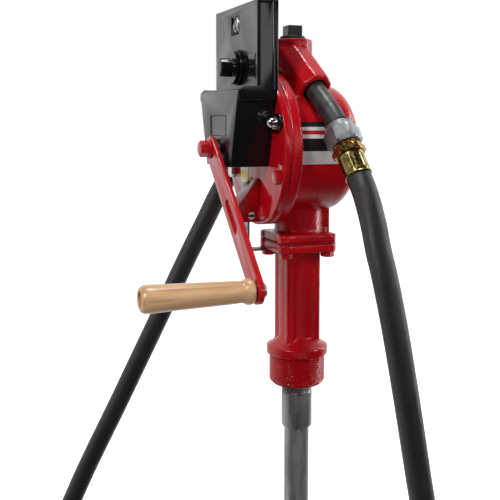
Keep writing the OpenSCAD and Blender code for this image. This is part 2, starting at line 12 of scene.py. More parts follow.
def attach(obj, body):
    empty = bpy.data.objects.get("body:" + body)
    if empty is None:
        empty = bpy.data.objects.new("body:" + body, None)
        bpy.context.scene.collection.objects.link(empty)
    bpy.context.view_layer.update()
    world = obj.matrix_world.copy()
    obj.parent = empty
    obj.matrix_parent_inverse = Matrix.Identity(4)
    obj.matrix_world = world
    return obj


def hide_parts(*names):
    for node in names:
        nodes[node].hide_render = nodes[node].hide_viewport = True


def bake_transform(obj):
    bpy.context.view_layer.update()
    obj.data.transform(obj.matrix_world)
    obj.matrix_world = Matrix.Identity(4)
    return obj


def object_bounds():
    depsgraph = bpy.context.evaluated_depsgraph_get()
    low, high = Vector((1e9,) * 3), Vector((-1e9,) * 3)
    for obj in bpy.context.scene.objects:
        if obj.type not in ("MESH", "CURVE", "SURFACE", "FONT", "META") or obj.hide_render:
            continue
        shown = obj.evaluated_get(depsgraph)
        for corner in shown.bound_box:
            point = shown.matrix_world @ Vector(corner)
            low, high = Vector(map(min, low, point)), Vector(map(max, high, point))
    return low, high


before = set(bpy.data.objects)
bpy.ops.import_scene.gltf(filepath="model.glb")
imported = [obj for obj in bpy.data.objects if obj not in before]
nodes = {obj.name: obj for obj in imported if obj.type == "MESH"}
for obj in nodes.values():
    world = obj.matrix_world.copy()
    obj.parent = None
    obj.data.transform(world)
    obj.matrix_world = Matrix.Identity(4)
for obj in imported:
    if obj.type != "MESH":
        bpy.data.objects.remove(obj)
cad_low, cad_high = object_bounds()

scene = bpy.context.scene
mm = 0.001


# ---- Camera ------------------------------------------------------------------
# A short telephoto lens level with the reset knob, in front of the nozzle side,
# turned a little down.
eye = Vector((0.8166, -0.3683, 0.2494))
lens_turn, lens_drop = math.radians(69.0), math.radians(5.3)
camera = bpy.data.objects.new("camera", bpy.data.cameras.new("camera"))
camera.data.lens = 60.2
camera.data.shift_y = -0.1
camera.matrix_world = (Matrix.Translation(eye) @ Matrix.Rotation(lens_turn, 4, "Z")
                       @ Matrix.Rotation(math.pi / 2 - lens_drop, 4, "X"))
scene.collection.objects.link(camera)
scene.camera = camera


# ---- Hose --------------------------------------------------------------------
# Eight feet of black rubber hose, wrapped in cloth while it was cured, which leaves
# fine slanting ribs. It leaves the outlet on the far side, hangs below the drum's bung
# and comes back up to the nozzle. Each direction is (cos drop cos turn, cos drop sin turn,
# -sin drop): the outlet has turn 178 and drop 25, and the nozzle turn 8 and drop 54.
hose_radius = 12.3 * mm
outlet_direction = np.array([-0.9058, 0.0316, -0.4226])
outlet_start = np.array([0, -3, 305]) * mm
nozzle_direction = np.array([0.5821, 0.0818, -0.8090])
bend_point = np.array([75.32, 6.39, 252.41]) * mm
coupling_end, outlet_end = 93 * mm, 122 * mm
ferrule_end = 67 * mm
mouth_gap = 0.4 * mm
outlet_mouth = outlet_start + outlet_end * outlet_direction
nozzle_mouth = bend_point + (ferrule_end + mouth_gap) * nozzle_direction
hose_route = np.array([
    outlet_mouth / mm, [-137, 1, 239], [-157, 0, 222], [-173.5, -5, 202], [-186.5, -14.5, 179],
    [-195.5, -25.5, 154.5], [-201, -37, 128], [-210, -60, 78], [-222, -95, 0], [-241, -144, -110],
    [-260, -198, -229], [-275, -244, -350], [-277, -276, -470], [-258, -292, -585],
    [-214, -290, -680], [-148, -266, -742], [-72, -220, -768], [8, -160, -762], [80, -92, -722],
    [130, -22, -650], [156, 38, -550], [164, 72, -440], [162, 84, -320], [158, 78, -200],
    [157, 58, -94], [159, 44, -25], [159, 35, 21], [157, 27, 65], [151, 20, 108], [145, 17, 130],
    [138, 15.5, 153], [130, 14, 173], [122.5, 13, 186.5], nozzle_mouth / mm]) * mm


def smooth_route(route, steps):
    """Catmull-Rom curve: between b and c it is the cubic whose slopes at its ends are half
    the step from a to c and from b to d, taken at equal steps of its parameter."""
    padded = np.vstack([route[:1], route, route[-1:]])
    a, b, c, d = (padded[i:len(route) - 1 + i, None] for i in range(4))
    t = (np.arange(steps) / steps)[None, :, None]
    curve = 0.5 * (2 * b + (c - a) * t + (2 * a - 5 * b + 4 * c - d) * t ** 2
                   + (3 * b - a - 3 * c + d) * t ** 3)
    return np.vstack([curve.reshape(-1, 3), route[-1:]])


def rings_along(centres, radius, columns, reference):
    """Grid of rings square to a path: the point at angle a of ring i is
    centre + radius (u cos a + v sin a), where u is the path's direction crossed with the
    reference and v is the direction crossed with u."""
    direction = np.gradient(centres, axis=0)
    direction /= np.linalg.norm(direction, axis=1, keepdims=True)
    u = np.cross(direction, reference)
    u /= np.linalg.norm(u, axis=1, keepdims=True)
    v = np.cross(direction, u)
    a = np.arange(columns) / columns * 2 * np.pi
    radius = np.broadcast_to(radius, (len(centres), columns))[:, :, None]
    return centres[:, None] + radius * (u[:, None] * np.cos(a)[None, :, None]
                                        + v[:, None] * np.sin(a)[None, :, None])


def skin(name, grid, lengths=None, joined=False, sharp=35):
    """Mesh over a grid of points: each cell is a quad and the last column meets the first.
    The end rows are closed with a flat face, or with joined the last row meets the first.
    With lengths, a UV map holds the turn round the row and the length along the rows."""
    rows, columns = grid.shape[:2]
    cells = rows if joined else rows - 1
    row, column = np.meshgrid(np.arange(cells), np.arange(columns), indexing="ij")
    below, right = (row + 1) % rows, (column + 1) % columns
    quads = np.stack([row * columns + column, row * columns + right,
                      below * columns + right, below * columns + column], -1).reshape(-1, 4)
    faces = quads.tolist()
    if not joined:
        faces.append(list(range(columns))[::-1])
        faces.append(list(range((rows - 1) * columns, rows * columns)))
    mesh = bpy.data.meshes.new(name)
    mesh.from_pydata(grid.reshape(-1, 3).tolist(), [], faces)
    if lengths is not None:
        uv = np.zeros((len(mesh.loops), 2))
        turn = np.stack([column, column + 1, column + 1, column], -1) / columns
        length = lengths[np.stack([row, row, row + 1, row + 1], -1)]
        uv[:quads.size] = np.stack([turn, length], -1).reshape(-1, 2)
        mesh.uv_layers.new(name="wrap").data.foreach_set("uv", uv.ravel())
    mesh.shade_smooth()
    mesh.set_sharp_from_angle(angle=math.radians(sharp))
    piece = bpy.data.objects.new(name, mesh)
    scene.collection.objects.link(piece)
    return piece


def principled(name, colour, roughness, **values):
    """Material with one shader; values are sockets by name, with _ for a space."""
    material = bpy.data.materials.new(name)
    material.use_nodes = True
    shader = material.node_tree.nodes["Principled BSDF"]
    shader.inputs["Base Color"].default_value = (*colour, 1)
    shader.inputs["Roughness"].default_value = roughness
    for socket, value in values.items():
        shader.inputs[socket.replace("_", " ")].default_value = value
    return material


def object_noise(material, scale, stretch=(1, 1, 1), detail=3.0):
    """Noise on Object coordinates, finer along an axis where stretch is large."""
    tree = material.node_tree
    place = tree.nodes.new("ShaderNodeTexCoord")
    mapping = tree.nodes.new("ShaderNodeMapping")
    mapping.inputs["Scale"].default_value = stretch
    noise = tree.nodes.new("ShaderNodeTexNoise")
    noise.inputs["Scale"].default_value = scale
    noise.inputs["Detail"].default_value = detail
    tree.links.new(place.outputs["Object"], mapping.inputs["Vector"])
    tree.links.new(mapping.outputs["Vector"], noise.inputs["Vector"])
    return noise.outputs["Fac"]


def add_bump(material, height, depth, strength=1.0):
    """Bump of that depth in metres on top of whatever bump the shader has."""
    tree = material.node_tree
    shader = tree.nodes["Principled BSDF"]
    bump = tree.nodes.new("ShaderNodeBump")
    bump.inputs["Distance"].default_value = depth
    bump.inputs["Strength"].default_value = strength
    if shader.inputs["Normal"].is_linked:
        tree.links.new(shader.inputs["Normal"].links[0].from_socket, bump.inputs["Normal"])
    tree.links.new(height, bump.inputs["Height"])
    tree.links.new(bump.outputs["Normal"], shader.inputs["Normal"])


def spread(material, value, low, high, start=0.3, stop=0.7):
    """Value from start to stop mapped to low to high, held at the ends."""
    tree = material.node_tree
    ramp = tree.nodes.new("ShaderNodeMapRange")
    for socket, number in (("From Min", start), ("From Max", stop), ("To Min", low), ("To Max", high)):
        ramp.inputs[socket].default_value = number
    tree.links.new(value, ramp.inputs["Value"])
    return ramp.outputs["Result"]


def vary_roughness(material, value, low, high):
    """Roughness from low to high as value goes from 0.3 to 0.7."""
    tree = material.node_tree
    tree.links.new(spread(material, value, low, high), tree.nodes["Principled BSDF"].inputs["Roughness"])


def vary_colour(material, value, dark, light, start=0.3, stop=0.7):
    """Base colour from dark to light as value goes from start to stop."""
    tree = material.node_tree
    mix = tree.nodes.new("ShaderNodeMix")
    mix.data_type = "RGBA"
    mix.inputs["A"].default_value = (*dark, 1)
    mix.inputs["B"].default_value = (*light, 1)
    tree.links.new(spread(material, value, 0, 1, start, stop), mix.inputs["Factor"])
    tree.links.new(mix.outputs["Result"], tree.nodes["Principled BSDF"].inputs["Base Color"])


def fit(piece, body, slot, material, *replaced):
    """Gives a piece its material and its body, and hides the nodes it stands for; the slot is not used.
    """
    piece.data.materials.clear()
    piece.data.materials.append(material)
    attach(piece, body)
    if replaced:
        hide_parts(*replaced)
    return piece


hose_rubber = principled("hose_rubber", (0.016, 0.015, 0.016), 0.42, Specular_IOR_Level=0.5)
tree = hose_rubber.node_tree
wrap_uv = tree.nodes.new("ShaderNodeUVMap")
wrap_uv.uv_map = "wrap"
wrap_axes = tree.nodes.new("ShaderNodeSeparateXYZ")
tree.links.new(wrap_uv.outputs["UV"], wrap_axes.inputs["Vector"])
# Height of the cloth's ribs: the sine of the rib's count round the hose plus the length
# over the pitch
ribs_round = 40
rib_pitch = 2.0 * mm
rib_turns = tree.nodes.new("ShaderNodeMath")
rib_turns.operation = "MULTIPLY"
rib_turns.inputs[1].default_value = ribs_round * 2 * math.pi
rib_length = tree.nodes.new("ShaderNodeMath")
rib_length.operation = "MULTIPLY_ADD"
rib_length.inputs[1].default_value = 2 * math.pi / rib_pitch
rib = tree.nodes.new("ShaderNodeMath")
rib.operation = "SINE"
tree.links.new(wrap_axes.outputs["X"], rib_turns.inputs[0])
tree.links.new(wrap_axes.outputs["Y"], rib_length.inputs[0])
tree.links.new(rib_turns.outputs[0], rib_length.inputs[2])
tree.links.new(rib_length.outputs[0], rib.inputs[0])
rubber_grain = object_noise(hose_rubber, 900, detail=4)
add_bump(hose_rubber, rib.outputs[0], 0.12 * mm, 0.7)
add_bump(hose_rubber, rubber_grain, 0.12 * mm, 0.6)
vary_roughness(hose_rubber, object_noise(hose_rubber, 60), 0.36, 0.52)

hose_path = smooth_route(hose_route, 12)
hose_steps = np.linalg.norm(np.diff(hose_path, axis=0), axis=1)
hose_lengths = np.concatenate([[0], np.cumsum(hose_steps)])
hose = skin("hose", rings_along(hose_path, hose_radius, 32, (1, -1, 0.1)), hose_lengths)
hose.data.materials.append(hose_rubber)
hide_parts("hose")
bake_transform(hose)


# ---- Studio ------------------------------------------------------------------
# A white floor and backdrop, a darker room behind the camera, and soft boxes. The floor
# lies just under the hose's loop, and it neither lights the pump nor shows in its gloss.
floor_height = cad_low.z - 0.02
floor_mesh = bpy.data.meshes.new("studio_floor")
floor_mesh.from_pydata([(x, y, floor_height) for x, y in ((-60, -60), (60, -60), (60, 60), (-60, 60))],
                       [], [(0, 1, 2, 3)])
studio_floor = bpy.data.objects.new("studio_floor", floor_mesh)
scene.collection.objects.link(studio_floor)
studio_floor.data.materials.append(principled(
    "pale_floor", (0.9, 0.9, 0.9), 0.9, Emission_Color=(1, 1, 1, 1), Emission_Strength=0.9))
studio_floor.visible_glossy = studio_floor.visible_diffuse = False

world = bpy.data.worlds.new("studio")
scene.world = world
world.use_nodes = True
tree = world.node_tree
background = tree.nodes["Background"]
direction = tree.nodes.new("ShaderNodeTexCoord")
direction_axes = tree.nodes.new("ShaderNodeSeparateXYZ")
room = tree.nodes.new("ShaderNodeMapRange")
room.interpolation_type = "SMOOTHSTEP"
for socket, number in (("From Min", -0.55), ("From Max", 0.25), ("To Min", 1.0), ("To Max", 0.02)):
    room.inputs[socket].default_value = number
seen = tree.nodes.new("ShaderNodeLightPath")
white_behind = tree.nodes.new("ShaderNodeMath")
white_behind.operation = "MAXIMUM"
tree.links.new(direction.outputs["Generated"], direction_axes.inputs["Vector"])
tree.links.new(direction_axes.outputs["X"], room.inputs["Value"])
tree.links.new(room.outputs["Result"], white_behind.inputs[0])
tree.links.new(seen.outputs["Is Camera Ray"], white_behind.inputs[1])
tree.links.new(white_behind.outputs[0], background.inputs["Strength"])
background.inputs["Color"].default_value = (1, 1, 1, 1)


def soft_box(name, place, size, power):
    """Rectangular area light aimed at the top of the column."""
    light = bpy.data.lights.new(name, "AREA")
    light.shape = "RECTANGLE"
    light.size, light.size_y = size
    light.energy = power
    lamp = bpy.data.objects.new(name, light)
    place = Vector(place)
    lamp.matrix_world = (Matrix.Translation(place)
                         @ (Vector((0, 0, 0.15)) - place).to_track_quat("-Z", "Y").to_matrix().to_4x4())
    scene.collection.objects.link(lamp)
    return lamp


soft_box("key_box", (1.1, -1.5, 1.4), (0.45, 0.7), 26)
soft_box("side_box", (1.2, 1.5, 0.7), (0.12, 1.1), 9)
# The fill lights the undersides and is left out of the gloss
soft_box("fill_box", (1.5, -0.1, -0.5), (0.9, 0.9), 6).visible_glossy = False
soft_box("rim_box", (-0.1, 1.7, 0.5), (0.25, 1.6), 14)
soft_box("edge_box", (1.8, 0.64, 0.58), (0.9, 0.46), 2.2)
soft_box("top_box", (0.1, 0.1, 1.9), (0.5, 0.5), 13)
scene.view_settings.view_transform = "Standard"


# ---- Cast head and column ----------------------------------------------------
# Two sand castings in glossy red enamel: their corners are round, and the
# paint keeps the sand's fine peel. The pipe thread is cut after casting.
def merged_copy(node, name):
    """New object with a CAD node's mesh, its loose triangles joined at shared points."""
    mesh = nodes[node].data.copy()
    mesh.name = name
    cleaner = bmesh.new()
    cleaner.from_mesh(mesh)
    bmesh.ops.remove_doubles(cleaner, verts=cleaner.verts, dist=0.002 * mm)
    cleaner.to_mesh(mesh)
    cleaner.free()
    mesh.materials.clear()
    piece = bpy.data.objects.new(name, mesh)
    scene.collection.objects.link(piece)
    return piece


def keep_result(piece):
    """Replaces a piece's mesh by what its modifiers make of it."""
    ready = piece.evaluated_get(bpy.context.evaluated_depsgraph_get())
    piece.data = bpy.data.meshes.new_from_object(ready)
    piece.modifiers.clear()
    piece.data.shade_smooth()


def cast_skin(node, name, cell, passes):
    """A node's shape as a casting: its surface rebuilt on a lattice of that cell size, and
    each point then moved halfway to the mean of its neighbours, passes times."""
    piece = merged_copy(node, name)
    rebuild = piece.modifiers.new("lattice", "REMESH")
    rebuild.mode = "VOXEL"
    rebuild.voxel_size = cell
    ease = piece.modifiers.new("ease", "SMOOTH")
    ease.factor = 0.5
    ease.iterations = passes
    keep_result(piece)
    return piece


def enamel(name, colour, peel=0.35):
    """Glossy red paint with the peel of the surface below."""
    paint = principled(name, colour, 0.2, Specular_IOR_Level=0.45)
    vary_roughness(paint, object_noise(paint, 45), 0.1, 0.2)
    add_bump(paint, object_noise(paint, 420, detail=2), 0.5 * mm, peel)
    add_bump(paint, object_noise(paint, 1500, detail=2), 0.05 * mm, peel)
    return paint


enamel_red = (0.47, 0.004, 0.010)
cast_enamel = enamel("cast_enamel", enamel_red, 0.9)
head_casting = cast_skin("pump_housing", "head_casting", 1.5 * mm, 5)
fit(head_casting, "pump", "red_casting", cast_enamel, "pump_housing")

column_casting = cast_skin("column", "column_casting", 1.35 * mm, 4)
thread_radius, thread_depth, thread_pitch = 30.16 * mm, 1.2 * mm, 2.209 * mm
points = np.empty(len(column_casting.data.vertices) * 3)
column_casting.data.vertices.foreach_get("co", points)
points = points.reshape(-1, 3)
radius = np.hypot(points[:, 0], points[:, 1])
inside = (points[:, 2] < -0.6 * mm) & (radius > 24 * mm)
shrink = np.where(inside, np.minimum(1, (thread_radius - 2 * mm) / np.maximum(radius, mm)), 1)
points[:, :2] *= shrink[:, None]
column_casting.data.vertices.foreach_set("co", points.ravel())
column_casting.data.update()
fit(column_casting, "pump", "red_casting", cast_enamel, "column")


def turned(name, foot, direction, profile, columns=72, corner=None, flats=None, joined=False,
           wave=None, sharp=35):
    """Surface of revolution: the point at angle a and station (t, r) of the profile is
    foot + t d + r (u cos a + v sin a), with d the direction. With flats, r is at most
    flats / cos(b), where b is the angle from the nearest flat of a hexagon with a corner
    towards u. Wave is a factor on r that depends on t and a."""
    profile = np.asarray(profile, float)
    d = np.asarray(direction, float)
    d = d / np.linalg.norm(d)
    u = np.cross(np.cross(d, (0.31, 0.2, 1) if corner is None else corner), d)
    u /= np.linalg.norm(u)
    v = np.cross(d, u)
    a = (np.arange(columns) / columns * 2 * np.pi)[None, :]
    t, r = profile[:, :1], np.repeat(profile[:, 1:], columns, axis=1)
    if flats is not None:
        r = np.minimum(r, flats / np.cos(a % (np.pi / 3) - np.pi / 6))
    if wave is not None:
        r = r * wave(t, a)
    grid = (np.asarray(foot, float) + t[:, :, None] * d
            + r[:, :, None] * (np.cos(a)[:, :, None] * u + np.sin(a)[:, :, None] * v))
    return skin(name, grid, joined=joined, sharp=sharp)


# Thread: the radius follows a triangle wave of the height plus the turn, and narrows
# over the chamfered end.
thread_length, chamfer_length, chamfer_depth = 33 * mm, 4.5 * mm, 3.6 * mm
thread_t = np.linspace(0, thread_length, 200)
thread_core = thread_radius - chamfer_depth * (
    1 - np.clip((thread_length - thread_t) / chamfer_length, 0, 1))


def thread_wave(t, a):
    """One less the thread's depth times a triangle wave of t over the pitch plus a turn."""
    phase = (t / thread_pitch + a / (2 * np.pi)) % 1
    return 1 - thread_depth / thread_radius * np.abs(2 * phase - 1)


bung_thread = turned("bung_thread", (0, 0, 0), (0, 0, -1),
                     np.stack([thread_t, thread_core], -1), 120, wave=thread_wave, sharp=80)
fit(bung_thread, "pump", "red_casting", cast_enamel)


# ---- Cover, hood and gaskets -------------------------------------------------
# The front cover is a turned plate, and the hood is folded sheet riveted to it.
# Both are enamelled with the head, and so are the edges of the thin gaskets.
def soft_edged(node, name, width, segments=3):
    """A node's shape with every edge sharper than 30 degrees rounded over. Triangles in one
    plane are joined first, so that the rounding starts from whole faces."""
    piece = merged_copy(node, name)
    flats = bmesh.new()
    flats.from_mesh(piece.data)
    bmesh.ops.dissolve_limit(flats, angle_limit=math.radians(0.5), verts=flats.verts,
                             edges=flats.edges)
    flats.to_mesh(piece.data)
    flats.free()
    piece.data.shade_smooth()
    edge = piece.modifiers.new("edge", "BEVEL")
    edge.width = width
    edge.segments = segments
    edge.limit_method = "ANGLE"
    edge.angle_limit = math.radians(30)
    edge.use_clamp_overlap = False
    edge.harden_normals = True
    return piece


sheet_enamel = enamel("sheet_enamel", enamel_red, 0.18)
fit(soft_edged("front_cover", "cover_plate", 0.8 * mm), "pump", "red_cover", sheet_enamel,
    "front_cover")
fit(soft_edged("lock_bracket", "lock_hood", 0.5 * mm, 2), "pump", "red_cover", sheet_enamel,
    "lock_bracket")
gasket_fibre = principled("gasket_fibre", (0.30, 0.003, 0.008), 0.4)
add_bump(gasket_fibre, object_noise(gasket_fibre, 900), 0.1 * mm)
for node in ("cover_gasket", "flange_gasket"):
    fit(soft_edged(node, node.replace("gasket", "packing"), 0.1 * mm, 1), "pump", "seal_rubber",
        gasket_fibre, node)


# ---- Bolts -------------------------------------------------------------------
# Forged hexagon heads with chamfered corners. They are painted over with the
# head, except one replaced by a zinc-plated bolt.
shaft_height = 222.5 * mm
bolt_circle = 70 * mm
cover_face, strap_face = -49 * mm, -51 * mm
flange_face, strap_shelf = 113 * mm, 111 * mm
head_across, head_height = 7.3 * mm, 5.5 * mm


def bolt_head(name, seat, direction, corner, across, height, shank, shank_length):
    """Hexagon head of that height on a shank; the corners are cut by a 30 degree cone at
    the top, and a washer face stands under the head."""
    flats = across * math.cos(math.pi / 6)
    drop = 0.12 * across
    profile = [(-shank_length, shank), (0, shank), (0, flats * 0.97), (0.35 * mm, flats * 0.97),
               (0.4 * mm, across * 1.01), (height - drop, across * 1.01),
               (height - 0.25 * drop, flats * 0.98), (height, flats * 0.9)]
    return turned(name, seat, direction, profile, 96, corner, flats, sharp=25)


def joined(name, parts):
    """One object from several: their meshes put together."""
    maker = bmesh.new()
    for part in parts:
        maker.from_mesh(part.data)
        bpy.data.objects.remove(part)
    mesh = bpy.data.meshes.new(name)
    maker.to_mesh(mesh)
    maker.free()
    piece = bpy.data.objects.new(name, mesh)
    scene.collection.objects.link(piece)
    return piece


def on_bolt_circle(angle, y):
    """Point of the cover's bolt circle at that angle in degrees above +X."""
    a = math.radians(angle)
    return (bolt_circle * math.cos(a), y, shaft_height + bolt_circle * math.sin(a))


painted_bolt = enamel("painted_bolt", (0.47, 0.008, 0.014), 0.3)
zinc = principled("zinc_plate", (0.60, 0.62, 0.66), 0.3, Metallic=1.0)
vary_roughness(zinc, object_noise(zinc, 160, detail=4), 0.22, 0.42)
vary_colour(zinc, object_noise(zinc, 60, detail=4), (0.47, 0.49, 0.53), (0.66, 0.68, 0.72))
add_bump(zinc, object_noise(zinc, 1200), 0.05 * mm, 0.4)

cover_heads = []
for angle, seat in ((-22.5, cover_face), (-67.5, cover_face), (-112.5, strap_face)):
    cover_heads.append(bolt_head("head", on_bolt_circle(angle, seat), (0, -1, 0), (0, 0, 1),
                                 head_across, head_height, 3.2 * mm, 15 * mm))
fit(joined("cover_bolt_heads", cover_heads), "pump", "red_fasteners", painted_bolt, "cover_bolts")
fit(bolt_head("zinc_cover_bolt", on_bolt_circle(-157.5, cover_face), (0, -1, 0), (0, 0, 1),
              head_across, head_height, 3.2 * mm, 15 * mm), "pump", "zinc", zinc)
flange_heads = []
for x, y in ((-24, -24), (24, -24), (-24, 24), (24, 24)):
    seat = strap_shelf if x < 0 and y < 0 else flange_face
    flange_heads.append(bolt_head("head", (x * mm, y * mm, seat), (0, 0, -1), (1, 0, 0),
                                  head_across, head_height, 3.95 * mm, 17 * mm))
fit(joined("flange_bolt_heads", flange_heads), "pump", "red_fasteners", painted_bolt, "flange_bolts")
matte_zinc = principled("matte_zinc", (0.33, 0.34, 0.36), 0.45, Metallic=0.9)
vary_colour(matte_zinc, object_noise(matte_zinc, 90, detail=5), (0.15, 0.155, 0.165),
            (0.40, 0.41, 0.43))
vary_roughness(matte_zinc, object_noise(matte_zinc, 200), 0.38, 0.54)
add_bump(matte_zinc, object_noise(matte_zinc, 1100), 0.07 * mm, 0.4)
fit(soft_edged("brace_strap", "zinc_strap", 0.35 * mm, 2), "pump", "zinc", matte_zinc, "brace_strap")

# Domed nuts on the studs that hold the counter's ears
chrome = principled("bright_plate", (0.86, 0.86, 0.88), 0.09, Metallic=1.0)
vary_roughness(chrome, object_noise(chrome, 200), 0.06, 0.14)
dome_turn = np.linspace(0, np.pi / 2 * 0.97, 12)
dome_profile = ([(-20 * mm, 3.2 * mm), (0, 3.2 * mm), (0, 5.5 * mm), (0.3 * mm, 6.6 * mm),
                 (4.4 * mm, 6.6 * mm), (5.4 * mm, 5.5 * mm)]
                + [(5.5 * mm + 5.2 * mm * math.sin(a), 5.2 * mm * math.cos(a)) for a in dome_turn])
domes = [turned("dome", on_bolt_circle(angle, -52 * mm), (0, -1, 0), dome_profile, 96, (0, 0, 1),
                6.5 * mm * math.cos(math.pi / 6)) for angle in (22.5, 157.5)]
fit(joined("domed_nuts", domes), "pump", "chrome_nuts", chrome, "ear_nuts")


# ---- Top plug ----------------------------------------------------------------
# Black malleable-iron pipe plug with a square head, on a rubber washer.
black_iron = principled("black_iron", (0.012, 0.012, 0.013), 0.42, Specular_IOR_Level=0.5)
vary_roughness(black_iron, object_noise(black_iron, 200), 0.3, 0.5)
add_bump(black_iron, object_noise(black_iron, 700), 0.2 * mm, 0.5)
fit(soft_edged("top_plug", "square_plug", 1.0 * mm), "pump", "black_plate", black_iron, "top_plug")
washer_rubber = principled("washer_rubber", (0.02, 0.02, 0.02), 0.6)
add_bump(washer_rubber, object_noise(washer_rubber, 1000), 0.08 * mm)
fit(soft_edged("plug_washer", "plug_seal", 0.3 * mm, 2), "pump", "seal_rubber", washer_rubber,
    "plug_washer")


# ---- Counter -----------------------------------------------------------------
# Moulded black housing: a flat upper box, a tapered shroud under it, and a
# glossy L-shaped edge band down each side.
def moulded(name, roughness_low, roughness_high, peel):
    """Black nylon with a faint moulding texture."""
    plastic = principled(name, (0.006, 0.006, 0.0075), roughness_low, Specular_IOR_Level=0.5)
    vary_roughness(plastic, object_noise(plastic, 30), roughness_low, roughness_high)
    add_bump(plastic, object_noise(plastic, 1300, detail=2), 0.06 * mm, peel)
    return plastic


satin_black = moulded("satin_black", 0.2, 0.3, 0.35)
gloss_black = moulded("gloss_black", 0.07, 0.14, 0.1)
fit(soft_edged("counter_housing", "counter_box", 0.8 * mm), "pump", "black_counter", satin_black,
    "counter_housing")
fit(soft_edged("counter_shroud", "counter_skirt", 0.9 * mm), "pump", "black_counter", satin_black,
    "counter_shroud")
fit(soft_edged("counter_back_plate", "back_plate", 0.5 * mm, 2), "pump", "black_plate", gloss_black,
    "counter_back_plate")

band_outline = [(-71, 366), (-70, 367), (-53.5, 367), (-52.3, 366), (-52.3, 271), (-88, 271),
                (-89.6, 272.5), (-89.6, 279.5), (-88, 281), (-73, 281), (-71, 283)]


def side_band(side):
    """The band's outline in Y and Z carried along X, from just inside the box to just proud."""
    outline = np.array(band_outline) * mm
    if side > 0:
        outline = outline[::-1]
    rows = np.array([59.9, 60.3, 60.8, 61.4, 61.9, 62.25, 62.4]) * mm * side
    inset = np.array([0, 0.05, 0.3, 0.9, 1.6, 2.4, 3.4]) * mm
    centre = np.array([-62, 330]) * mm
    shrink = outline[None] - np.sign(outline - centre)[None] * inset[:, None, None]
    grid = np.concatenate([np.repeat(rows[:, None, None], len(outline), axis=1), shrink], -1)
    return skin("band", grid, sharp=50)


fit(joined("edge_bands", [side_band(-1), side_band(1)]), "pump", "black_counter", gloss_black)

# Reset knob: a fluted barrel on a disc, turned by hand to zero the wheels
knob_axis = np.array([8, 0, 305]) * mm
knob_profile = [(52 * mm, 4 * mm), (74.8 * mm, 4 * mm), (74.8 * mm, 16.4 * mm),
                (75.3 * mm, 17 * mm), (77.9 * mm, 17 * mm), (78.5 * mm, 16.4 * mm),
                (78.6 * mm, 9.8 * mm), (79.4 * mm, 9.2 * mm), (90.6 * mm, 9.0 * mm),
                (91.6 * mm, 8.5 * mm), (92 * mm, 7.4 * mm), (91.7 * mm, 1.0 * mm)]


def knob_flutes(t, a):
    """Twelve shallow flutes on the barrel only, each a cosine cut to its upper half."""
    barrel = (t > 79 * mm) & (t < 91 * mm)
    return 1 + barrel * 0.055 * np.clip(np.cos(12 * a), 0, 1) ** 2 - barrel * 0.02


fit(turned("zero_knob", knob_axis, (0, -1, 0), knob_profile, 144, (0, 0, 1), wave=knob_flutes,
           sharp=40), "knob", "black_knob", gloss_black, "reset_knob")
fit(soft_edged("knob_boss", "knob_rim", 0.7 * mm), "pump", "black_counter", gloss_black, "knob_boss")

# Raised panel beside the knob
panel_grid = np.array([[(x, y, z) for x, z in ((30, 292), (56, 292), (56, 316), (30, 316))]
                       for y in (-70.9, -71.5)]) * mm
fit(skin("knob_panel", panel_grid), "pump", "black_counter", gloss_black)

# Number wheels behind a clear window: black drums with white figures, and the tenths
# reversed. The figures are generic.
wheel_white = principled("wheel_white", (0.82, 0.81, 0.77), 0.45)
add_bump(wheel_white, object_noise(wheel_white, 900), 0.03 * mm)
figure_black = principled("figure_black", (0.01, 0.01, 0.01), 0.5)
add_bump(figure_black, object_noise(figure_black, 900), 0.02 * mm)
wheel_centre = np.array([0, -61.5, 348]) * mm
wheel_radius = 7.8 * mm


def wheel_figures(name, x):
    """The figures 0 to 9 laid on a drum: each flat figure's height becomes an angle about
    the wheel's axis, a tenth of a turn apart."""
    maker = bmesh.new()
    for figure in range(10):
        text = bpy.data.curves.new("figure", "FONT")
        text.body = str(figure)
        text.size = 5.4 * mm
        text.align_x, text.align_y = "CENTER", "CENTER"
        text.resolution_u = 3
        holder = bpy.data.objects.new("figure", text)
        scene.collection.objects.link(holder)
        bpy.context.view_layer.update()
        ready = holder.evaluated_get(bpy.context.evaluated_depsgraph_get())
        flat = bpy.data.meshes.new_from_object(ready)
        bpy.data.objects.remove(holder)
        co = np.empty(len(flat.vertices) * 3)
        flat.vertices.foreach_get("co", co)
        co = co.reshape(-1, 3)
        angle = co[:, 1] / wheel_radius + figure * math.pi / 5
        reach = wheel_radius + 0.06 * mm
        laid = np.stack([x + co[:, 0], wheel_centre[1] - reach * np.cos(angle),
                         wheel_centre[2] + reach * np.sin(angle)], -1)
        flat.vertices.foreach_set("co", laid.ravel())
        maker.from_mesh(flat)
    mesh = bpy.data.meshes.new(name)
    maker.to_mesh(mesh)
    maker.free()
    piece = bpy.data.objects.new(name, mesh)
    scene.collection.objects.link(piece)
    return piece


for body, x in (("tenths", 7.5 * mm), ("ones", 0), ("tens", -7.5 * mm)):
    drum_profile = [(-3.4 * mm, 1.6 * mm), (-3.4 * mm, 7.4 * mm), (-3.1 * mm, wheel_radius),
                    (3.1 * mm, wheel_radius), (3.4 * mm, 7.4 * mm), (3.4 * mm, 1.6 * mm)]
    ground, ink = (wheel_white, figure_black) if body == "tenths" else (figure_black, wheel_white)
    fit(turned(body + "_drum", wheel_centre + np.array([x, 0, 0]), (1, 0, 0), drum_profile, 96,
               joined=True), body, "number_white", ground, body + "_wheel")
    fit(wheel_figures(body + "_figures", x), body, "number_white", ink)
clear_window = principled("clear_window", (0.95, 0.97, 0.98), 0.05, Transmission_Weight=1.0, IOR=1.12)
add_bump(clear_window, object_noise(clear_window, 120), 0.01 * mm, 0.2)
fit(soft_edged("window_lens", "counter_window", 0.15 * mm, 1), "pump", "lens", clear_window,
    "window_lens")


